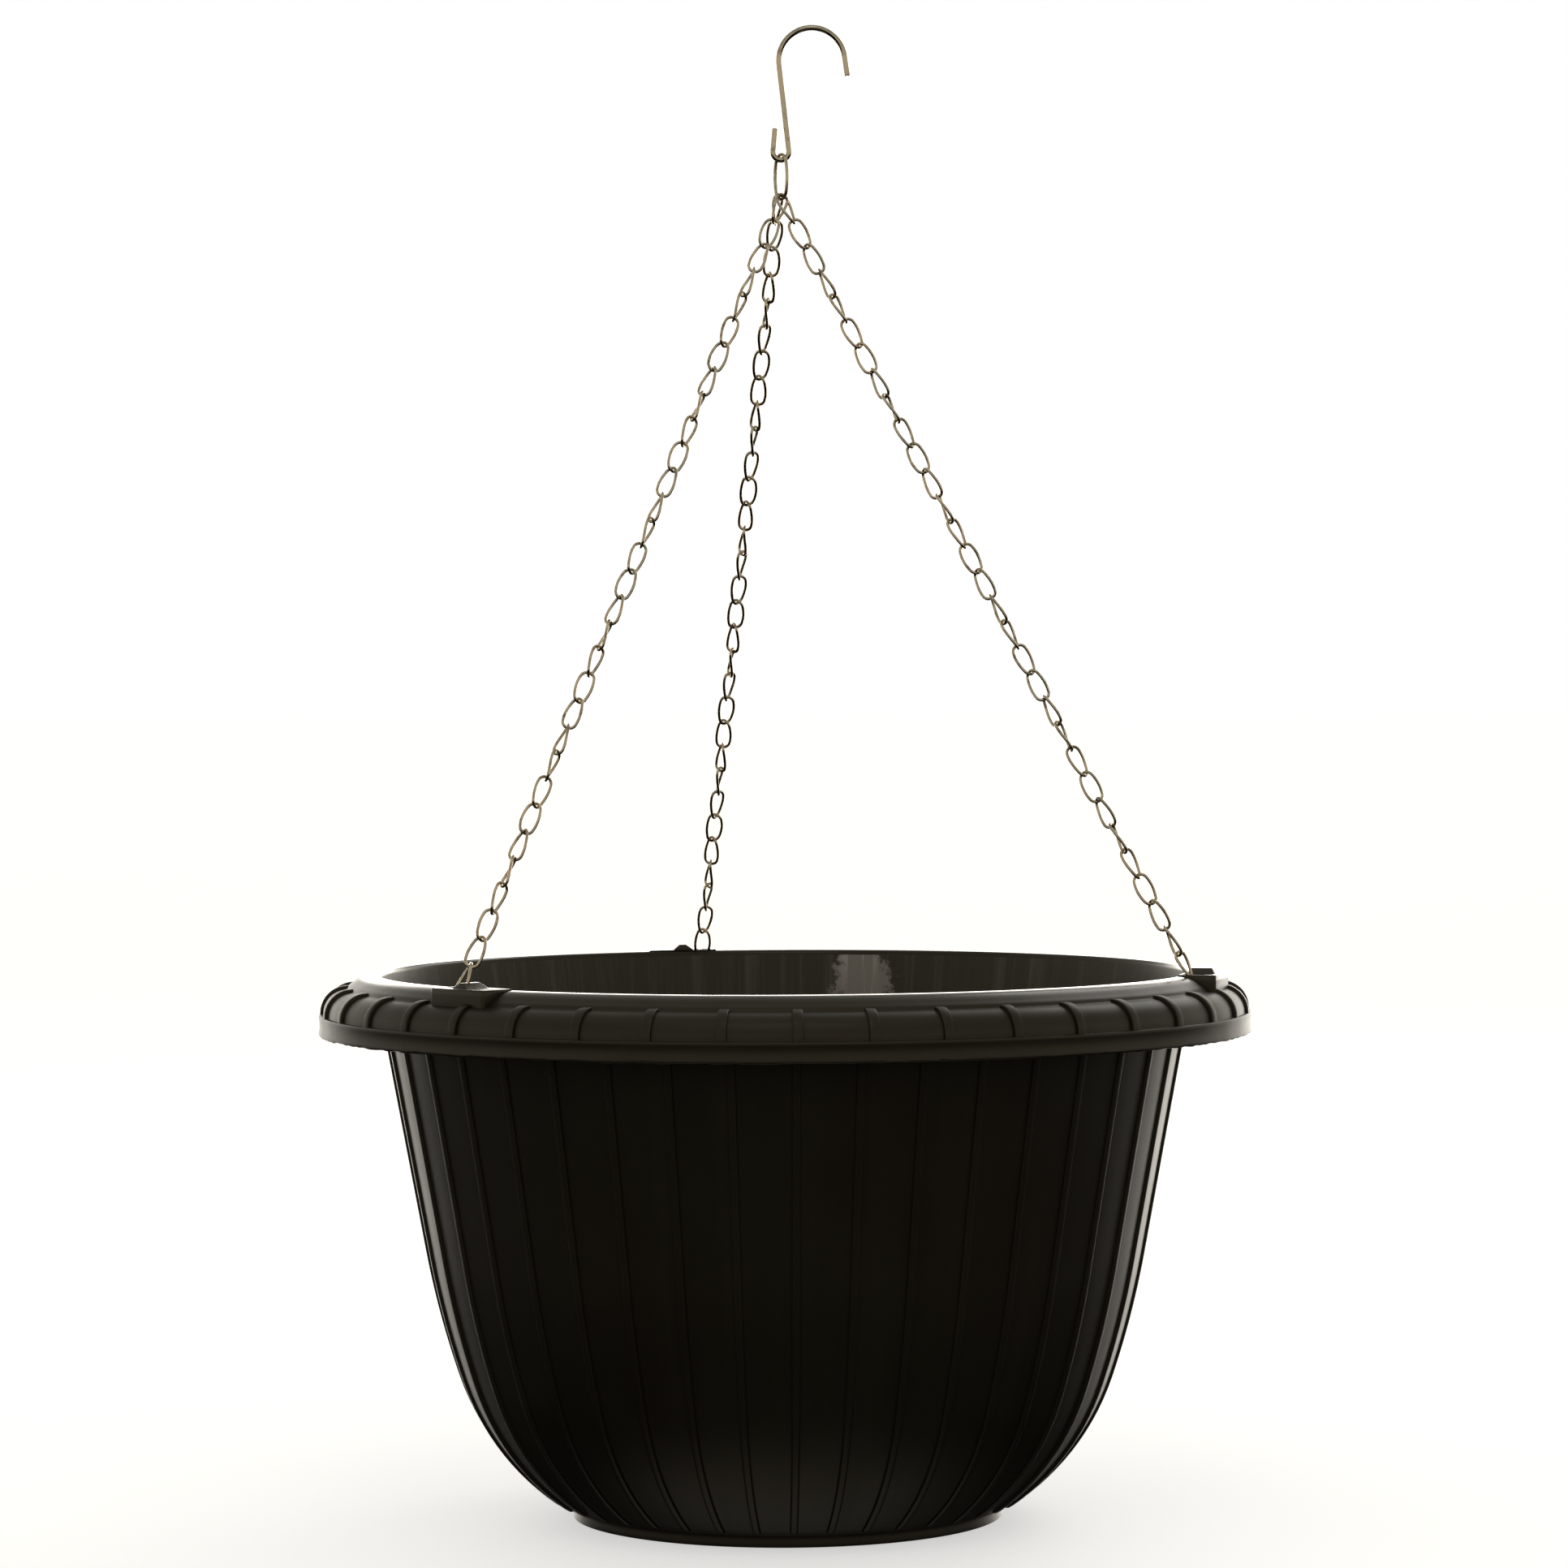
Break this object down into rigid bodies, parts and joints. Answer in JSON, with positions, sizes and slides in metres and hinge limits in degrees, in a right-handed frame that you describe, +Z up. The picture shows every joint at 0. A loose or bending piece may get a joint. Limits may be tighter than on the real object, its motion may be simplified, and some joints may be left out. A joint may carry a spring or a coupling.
{
  "type": "hanging basket",
  "caption": "Round ribbed plastic hanging basket with a rolled rim, held at its rim by twisted-link chains that meet in an oval link on an S-hook.",
  "frame": {"origin": "middle of the foot's underside, on the basket's axis", "axes": "+Z up along the basket's axis to the S-hook; +X points at the middle of chain a's anchor on the rim"},
  "size_m": [0.3499, 0.35, 0.5596],
  "materials": {
    "basket_plastic": "satin, fine moulded grain, very dark brown",
    "plated_wire": "dull yellow plating with darker tarnish"
  },
  "bodies": {
    "hook": {"s_hook": "plated_wire"},
    "oval": {"oval_link": "plated_wire"},
    "basket": {"bowl": "basket_plastic"},
    "chain_a_end": {"chain_a_end_link": "plated_wire"},
    "chain_a_15": {"chain_a_links_15": "plated_wire"},
    "chain_a_14": {"chain_a_links_14": "plated_wire"},
    "chain_a_13": {"chain_a_links_13": "plated_wire"},
    "chain_a_12": {"chain_a_links_12": "plated_wire"},
    "chain_a_11": {"chain_a_links_11": "plated_wire"},
    "chain_a_10": {"chain_a_links_10": "plated_wire"},
    "chain_a_09": {"chain_a_links_09": "plated_wire"},
    "chain_a_08": {"chain_a_links_08": "plated_wire"},
    "chain_a_07": {"chain_a_links_07": "plated_wire"},
    "chain_a_06": {"chain_a_links_06": "plated_wire"},
    "chain_a_05": {"chain_a_links_05": "plated_wire"},
    "chain_a_04": {"chain_a_links_04": "plated_wire"},
    "chain_a_03": {"chain_a_links_03": "plated_wire"},
    "chain_a_02": {"chain_a_links_02": "plated_wire"},
    "chain_a_01": {"chain_a_links_01": "plated_wire"},
    "chain_b_end": {"chain_b_end_link": "plated_wire"},
    "chain_b_15": {"chain_b_links_15": "plated_wire"},
    "chain_b_14": {"chain_b_links_14": "plated_wire"},
    "chain_b_13": {"chain_b_links_13": "plated_wire"},
    "chain_b_12": {"chain_b_links_12": "plated_wire"},
    "chain_b_11": {"chain_b_links_11": "plated_wire"},
    "chain_b_10": {"chain_b_links_10": "plated_wire"},
    "chain_b_09": {"chain_b_links_09": "plated_wire"},
    "chain_b_08": {"chain_b_links_08": "plated_wire"},
    "chain_b_07": {"chain_b_links_07": "plated_wire"},
    "chain_b_06": {"chain_b_links_06": "plated_wire"},
    "chain_b_05": {"chain_b_links_05": "plated_wire"},
    "chain_b_04": {"chain_b_links_04": "plated_wire"},
    "chain_b_03": {"chain_b_links_03": "plated_wire"},
    "chain_b_02": {"chain_b_links_02": "plated_wire"},
    "chain_b_01": {"chain_b_links_01": "plated_wire"},
    "chain_c_end": {"chain_c_end_link": "plated_wire"},
    "chain_c_15": {"chain_c_links_15": "plated_wire"},
    "chain_c_14": {"chain_c_links_14": "plated_wire"},
    "chain_c_13": {"chain_c_links_13": "plated_wire"},
    "chain_c_12": {"chain_c_links_12": "plated_wire"},
    "chain_c_11": {"chain_c_links_11": "plated_wire"},
    "chain_c_10": {"chain_c_links_10": "plated_wire"},
    "chain_c_09": {"chain_c_links_09": "plated_wire"},
    "chain_c_08": {"chain_c_links_08": "plated_wire"},
    "chain_c_07": {"chain_c_links_07": "plated_wire"},
    "chain_c_06": {"chain_c_links_06": "plated_wire"},
    "chain_c_05": {"chain_c_links_05": "plated_wire"},
    "chain_c_04": {"chain_c_links_04": "plated_wire"},
    "chain_c_03": {"chain_c_links_03": "plated_wire"},
    "chain_c_02": {"chain_c_links_02": "plated_wire"},
    "chain_c_01": {"chain_c_links_01": "plated_wire"}
  },
  "joints": [
    {"name": "oval_link_swing", "type": "hinge", "parent": "hook", "child": "oval", "pos_m": [0, 0, 0.50907], "axis": [0.9668, 0.2554, 0], "range_deg": [-25, 25]},
    {"name": "basket_swing", "type": "hinge", "parent": "oval", "child": "basket", "pos_m": [0, 0, 0.49437], "axis": [0.7408, -0.6717, 0], "range_deg": [-22, 22]},
    {"name": "chain_a_twist", "type": "hinge", "parent": "basket", "child": "chain_a_end", "pos_m": [0.1563, -0.0075, 0.20415], "axis": [-0.4735, 0.0222, 0.8805], "range_deg": [-8, 8]},
    {"name": "chain_a_twist_15", "type": "hinge", "parent": "chain_a_end", "child": "chain_a_15", "pos_m": [0.1563, -0.0075, 0.20415], "axis": [-0.4735, 0.0222, 0.8805], "range_deg": [-8, 8]},
    {"name": "chain_a_twist_14", "type": "hinge", "parent": "chain_a_15", "child": "chain_a_14", "pos_m": [0.1563, -0.0075, 0.20415], "axis": [-0.4735, 0.0222, 0.8805], "range_deg": [-8, 8]},
    {"name": "chain_a_twist_13", "type": "hinge", "parent": "chain_a_14", "child": "chain_a_13", "pos_m": [0.1563, -0.0075, 0.20415], "axis": [-0.4735, 0.0222, 0.8805], "range_deg": [-8, 8]},
    {"name": "chain_a_twist_12", "type": "hinge", "parent": "chain_a_13", "child": "chain_a_12", "pos_m": [0.1563, -0.0075, 0.20415], "axis": [-0.4735, 0.0222, 0.8805], "range_deg": [-8, 8]},
    {"name": "chain_a_twist_11", "type": "hinge", "parent": "chain_a_12", "child": "chain_a_11", "pos_m": [0.1563, -0.0075, 0.20415], "axis": [-0.4735, 0.0222, 0.8805], "range_deg": [-8, 8]},
    {"name": "chain_a_twist_10", "type": "hinge", "parent": "chain_a_11", "child": "chain_a_10", "pos_m": [0.1563, -0.0075, 0.20415], "axis": [-0.4735, 0.0222, 0.8805], "range_deg": [-8, 8]},
    {"name": "chain_a_twist_09", "type": "hinge", "parent": "chain_a_10", "child": "chain_a_09", "pos_m": [0.1563, -0.0075, 0.20415], "axis": [-0.4735, 0.0222, 0.8805], "range_deg": [-8, 8]},
    {"name": "chain_a_twist_08", "type": "hinge", "parent": "chain_a_09", "child": "chain_a_08", "pos_m": [0.1563, -0.0075, 0.20415], "axis": [-0.4735, 0.0222, 0.8805], "range_deg": [-8, 8]},
    {"name": "chain_a_twist_07", "type": "hinge", "parent": "chain_a_08", "child": "chain_a_07", "pos_m": [0.1563, -0.0075, 0.20415], "axis": [-0.4735, 0.0222, 0.8805], "range_deg": [-8, 8]},
    {"name": "chain_a_twist_06", "type": "hinge", "parent": "chain_a_07", "child": "chain_a_06", "pos_m": [0.1563, -0.0075, 0.20415], "axis": [-0.4735, 0.0222, 0.8805], "range_deg": [-8, 8]},
    {"name": "chain_a_twist_05", "type": "hinge", "parent": "chain_a_06", "child": "chain_a_05", "pos_m": [0.1563, -0.0075, 0.20415], "axis": [-0.4735, 0.0222, 0.8805], "range_deg": [-8, 8]},
    {"name": "chain_a_twist_04", "type": "hinge", "parent": "chain_a_05", "child": "chain_a_04", "pos_m": [0.1563, -0.0075, 0.20415], "axis": [-0.4735, 0.0222, 0.8805], "range_deg": [-8, 8]},
    {"name": "chain_a_twist_03", "type": "hinge", "parent": "chain_a_04", "child": "chain_a_03", "pos_m": [0.1563, -0.0075, 0.20415], "axis": [-0.4735, 0.0222, 0.8805], "range_deg": [-8, 8]},
    {"name": "chain_a_twist_02", "type": "hinge", "parent": "chain_a_03", "child": "chain_a_02", "pos_m": [0.1563, -0.0075, 0.20415], "axis": [-0.4735, 0.0222, 0.8805], "range_deg": [-8, 8]},
    {"name": "chain_a_twist_01", "type": "hinge", "parent": "chain_a_02", "child": "chain_a_01", "pos_m": [0.1563, -0.0075, 0.20415], "axis": [-0.4735, 0.0222, 0.8805], "range_deg": [-8, 8]},
    {"name": "chain_b_twist", "type": "hinge", "parent": "basket", "child": "chain_b_end", "pos_m": [-0.07165, 0.13911, 0.20415], "axis": [0.213, -0.4183, 0.883], "range_deg": [-8, 8]},
    {"name": "chain_b_twist_15", "type": "hinge", "parent": "chain_b_end", "child": "chain_b_15", "pos_m": [-0.07165, 0.13911, 0.20415], "axis": [0.213, -0.4183, 0.883], "range_deg": [-8, 8]},
    {"name": "chain_b_twist_14", "type": "hinge", "parent": "chain_b_15", "child": "chain_b_14", "pos_m": [-0.07165, 0.13911, 0.20415], "axis": [0.213, -0.4183, 0.883], "range_deg": [-8, 8]},
    {"name": "chain_b_twist_13", "type": "hinge", "parent": "chain_b_14", "child": "chain_b_13", "pos_m": [-0.07165, 0.13911, 0.20415], "axis": [0.213, -0.4183, 0.883], "range_deg": [-8, 8]},
    {"name": "chain_b_twist_12", "type": "hinge", "parent": "chain_b_13", "child": "chain_b_12", "pos_m": [-0.07165, 0.13911, 0.20415], "axis": [0.213, -0.4183, 0.883], "range_deg": [-8, 8]},
    {"name": "chain_b_twist_11", "type": "hinge", "parent": "chain_b_12", "child": "chain_b_11", "pos_m": [-0.07165, 0.13911, 0.20415], "axis": [0.213, -0.4183, 0.883], "range_deg": [-8, 8]},
    {"name": "chain_b_twist_10", "type": "hinge", "parent": "chain_b_11", "child": "chain_b_10", "pos_m": [-0.07165, 0.13911, 0.20415], "axis": [0.213, -0.4183, 0.883], "range_deg": [-8, 8]},
    {"name": "chain_b_twist_09", "type": "hinge", "parent": "chain_b_10", "child": "chain_b_09", "pos_m": [-0.07165, 0.13911, 0.20415], "axis": [0.213, -0.4183, 0.883], "range_deg": [-8, 8]},
    {"name": "chain_b_twist_08", "type": "hinge", "parent": "chain_b_09", "child": "chain_b_08", "pos_m": [-0.07165, 0.13911, 0.20415], "axis": [0.213, -0.4183, 0.883], "range_deg": [-8, 8]},
    {"name": "chain_b_twist_07", "type": "hinge", "parent": "chain_b_08", "child": "chain_b_07", "pos_m": [-0.07165, 0.13911, 0.20415], "axis": [0.213, -0.4183, 0.883], "range_deg": [-8, 8]},
    {"name": "chain_b_twist_06", "type": "hinge", "parent": "chain_b_07", "child": "chain_b_06", "pos_m": [-0.07165, 0.13911, 0.20415], "axis": [0.213, -0.4183, 0.883], "range_deg": [-8, 8]},
    {"name": "chain_b_twist_05", "type": "hinge", "parent": "chain_b_06", "child": "chain_b_05", "pos_m": [-0.07165, 0.13911, 0.20415], "axis": [0.213, -0.4183, 0.883], "range_deg": [-8, 8]},
    {"name": "chain_b_twist_04", "type": "hinge", "parent": "chain_b_05", "child": "chain_b_04", "pos_m": [-0.07165, 0.13911, 0.20415], "axis": [0.213, -0.4183, 0.883], "range_deg": [-8, 8]},
    {"name": "chain_b_twist_03", "type": "hinge", "parent": "chain_b_04", "child": "chain_b_03", "pos_m": [-0.07165, 0.13911, 0.20415], "axis": [0.213, -0.4183, 0.883], "range_deg": [-8, 8]},
    {"name": "chain_b_twist_02", "type": "hinge", "parent": "chain_b_03", "child": "chain_b_02", "pos_m": [-0.07165, 0.13911, 0.20415], "axis": [0.213, -0.4183, 0.883], "range_deg": [-8, 8]},
    {"name": "chain_b_twist_01", "type": "hinge", "parent": "chain_b_02", "child": "chain_b_01", "pos_m": [-0.07165, 0.13911, 0.20415], "axis": [0.213, -0.4183, 0.883], "range_deg": [-8, 8]},
    {"name": "chain_c_twist", "type": "hinge", "parent": "basket", "child": "chain_c_end", "pos_m": [-0.08464, -0.13161, 0.20415], "axis": [0.2592, 0.3968, 0.8805], "range_deg": [-8, 8]},
    {"name": "chain_c_twist_15", "type": "hinge", "parent": "chain_c_end", "child": "chain_c_15", "pos_m": [-0.08464, -0.13161, 0.20415], "axis": [0.2592, 0.3968, 0.8805], "range_deg": [-8, 8]},
    {"name": "chain_c_twist_14", "type": "hinge", "parent": "chain_c_15", "child": "chain_c_14", "pos_m": [-0.08464, -0.13161, 0.20415], "axis": [0.2592, 0.3968, 0.8805], "range_deg": [-8, 8]},
    {"name": "chain_c_twist_13", "type": "hinge", "parent": "chain_c_14", "child": "chain_c_13", "pos_m": [-0.08464, -0.13161, 0.20415], "axis": [0.2592, 0.3968, 0.8805], "range_deg": [-8, 8]},
    {"name": "chain_c_twist_12", "type": "hinge", "parent": "chain_c_13", "child": "chain_c_12", "pos_m": [-0.08464, -0.13161, 0.20415], "axis": [0.2592, 0.3968, 0.8805], "range_deg": [-8, 8]},
    {"name": "chain_c_twist_11", "type": "hinge", "parent": "chain_c_12", "child": "chain_c_11", "pos_m": [-0.08464, -0.13161, 0.20415], "axis": [0.2592, 0.3968, 0.8805], "range_deg": [-8, 8]},
    {"name": "chain_c_twist_10", "type": "hinge", "parent": "chain_c_11", "child": "chain_c_10", "pos_m": [-0.08464, -0.13161, 0.20415], "axis": [0.2592, 0.3968, 0.8805], "range_deg": [-8, 8]},
    {"name": "chain_c_twist_09", "type": "hinge", "parent": "chain_c_10", "child": "chain_c_09", "pos_m": [-0.08464, -0.13161, 0.20415], "axis": [0.2592, 0.3968, 0.8805], "range_deg": [-8, 8]},
    {"name": "chain_c_twist_08", "type": "hinge", "parent": "chain_c_09", "child": "chain_c_08", "pos_m": [-0.08464, -0.13161, 0.20415], "axis": [0.2592, 0.3968, 0.8805], "range_deg": [-8, 8]},
    {"name": "chain_c_twist_07", "type": "hinge", "parent": "chain_c_08", "child": "chain_c_07", "pos_m": [-0.08464, -0.13161, 0.20415], "axis": [0.2592, 0.3968, 0.8805], "range_deg": [-8, 8]},
    {"name": "chain_c_twist_06", "type": "hinge", "parent": "chain_c_07", "child": "chain_c_06", "pos_m": [-0.08464, -0.13161, 0.20415], "axis": [0.2592, 0.3968, 0.8805], "range_deg": [-8, 8]},
    {"name": "chain_c_twist_05", "type": "hinge", "parent": "chain_c_06", "child": "chain_c_05", "pos_m": [-0.08464, -0.13161, 0.20415], "axis": [0.2592, 0.3968, 0.8805], "range_deg": [-8, 8]},
    {"name": "chain_c_twist_04", "type": "hinge", "parent": "chain_c_05", "child": "chain_c_04", "pos_m": [-0.08464, -0.13161, 0.20415], "axis": [0.2592, 0.3968, 0.8805], "range_deg": [-8, 8]},
    {"name": "chain_c_twist_03", "type": "hinge", "parent": "chain_c_04", "child": "chain_c_03", "pos_m": [-0.08464, -0.13161, 0.20415], "axis": [0.2592, 0.3968, 0.8805], "range_deg": [-8, 8]},
    {"name": "chain_c_twist_02", "type": "hinge", "parent": "chain_c_03", "child": "chain_c_02", "pos_m": [-0.08464, -0.13161, 0.20415], "axis": [0.2592, 0.3968, 0.8805], "range_deg": [-8, 8]},
    {"name": "chain_c_twist_01", "type": "hinge", "parent": "chain_c_02", "child": "chain_c_01", "pos_m": [-0.08464, -0.13161, 0.20415], "axis": [0.2592, 0.3968, 0.8805], "range_deg": [-8, 8]}
  ],
  "couplings": [
    {"joint": "chain_a_twist_15", "follows": "chain_a_twist", "ratio": 1},
    {"joint": "chain_a_twist_14", "follows": "chain_a_twist", "ratio": 1},
    {"joint": "chain_a_twist_13", "follows": "chain_a_twist", "ratio": 1},
    {"joint": "chain_a_twist_12", "follows": "chain_a_twist", "ratio": 1},
    {"joint": "chain_a_twist_11", "follows": "chain_a_twist", "ratio": 1},
    {"joint": "chain_a_twist_10", "follows": "chain_a_twist", "ratio": 1},
    {"joint": "chain_a_twist_09", "follows": "chain_a_twist", "ratio": 1},
    {"joint": "chain_a_twist_08", "follows": "chain_a_twist", "ratio": -1},
    {"joint": "chain_a_twist_07", "follows": "chain_a_twist", "ratio": -1},
    {"joint": "chain_a_twist_06", "follows": "chain_a_twist", "ratio": -1},
    {"joint": "chain_a_twist_05", "follows": "chain_a_twist", "ratio": -1},
    {"joint": "chain_a_twist_04", "follows": "chain_a_twist", "ratio": -1},
    {"joint": "chain_a_twist_03", "follows": "chain_a_twist", "ratio": -1},
    {"joint": "chain_a_twist_02", "follows": "chain_a_twist", "ratio": -1},
    {"joint": "chain_a_twist_01", "follows": "chain_a_twist", "ratio": -1},
    {"joint": "chain_b_twist_15", "follows": "chain_b_twist", "ratio": 1},
    {"joint": "chain_b_twist_14", "follows": "chain_b_twist", "ratio": 1},
    {"joint": "chain_b_twist_13", "follows": "chain_b_twist", "ratio": 1},
    {"joint": "chain_b_twist_12", "follows": "chain_b_twist", "ratio": 1},
    {"joint": "chain_b_twist_11", "follows": "chain_b_twist", "ratio": 1},
    {"joint": "chain_b_twist_10", "follows": "chain_b_twist", "ratio": 1},
    {"joint": "chain_b_twist_09", "follows": "chain_b_twist", "ratio": 1},
    {"joint": "chain_b_twist_08", "follows": "chain_b_twist", "ratio": -1},
    {"joint": "chain_b_twist_07", "follows": "chain_b_twist", "ratio": -1},
    {"joint": "chain_b_twist_06", "follows": "chain_b_twist", "ratio": -1},
    {"joint": "chain_b_twist_05", "follows": "chain_b_twist", "ratio": -1},
    {"joint": "chain_b_twist_04", "follows": "chain_b_twist", "ratio": -1},
    {"joint": "chain_b_twist_03", "follows": "chain_b_twist", "ratio": -1},
    {"joint": "chain_b_twist_02", "follows": "chain_b_twist", "ratio": -1},
    {"joint": "chain_b_twist_01", "follows": "chain_b_twist", "ratio": -1},
    {"joint": "chain_c_twist_15", "follows": "chain_c_twist", "ratio": 1},
    {"joint": "chain_c_twist_14", "follows": "chain_c_twist", "ratio": 1},
    {"joint": "chain_c_twist_13", "follows": "chain_c_twist", "ratio": 1},
    {"joint": "chain_c_twist_12", "follows": "chain_c_twist", "ratio": 1},
    {"joint": "chain_c_twist_11", "follows": "chain_c_twist", "ratio": 1},
    {"joint": "chain_c_twist_10", "follows": "chain_c_twist", "ratio": 1},
    {"joint": "chain_c_twist_09", "follows": "chain_c_twist", "ratio": 1},
    {"joint": "chain_c_twist_08", "follows": "chain_c_twist", "ratio": -1},
    {"joint": "chain_c_twist_07", "follows": "chain_c_twist", "ratio": -1},
    {"joint": "chain_c_twist_06", "follows": "chain_c_twist", "ratio": -1},
    {"joint": "chain_c_twist_05", "follows": "chain_c_twist", "ratio": -1},
    {"joint": "chain_c_twist_04", "follows": "chain_c_twist", "ratio": -1},
    {"joint": "chain_c_twist_03", "follows": "chain_c_twist", "ratio": -1},
    {"joint": "chain_c_twist_02", "follows": "chain_c_twist", "ratio": -1},
    {"joint": "chain_c_twist_01", "follows": "chain_c_twist", "ratio": -1}
  ]
}
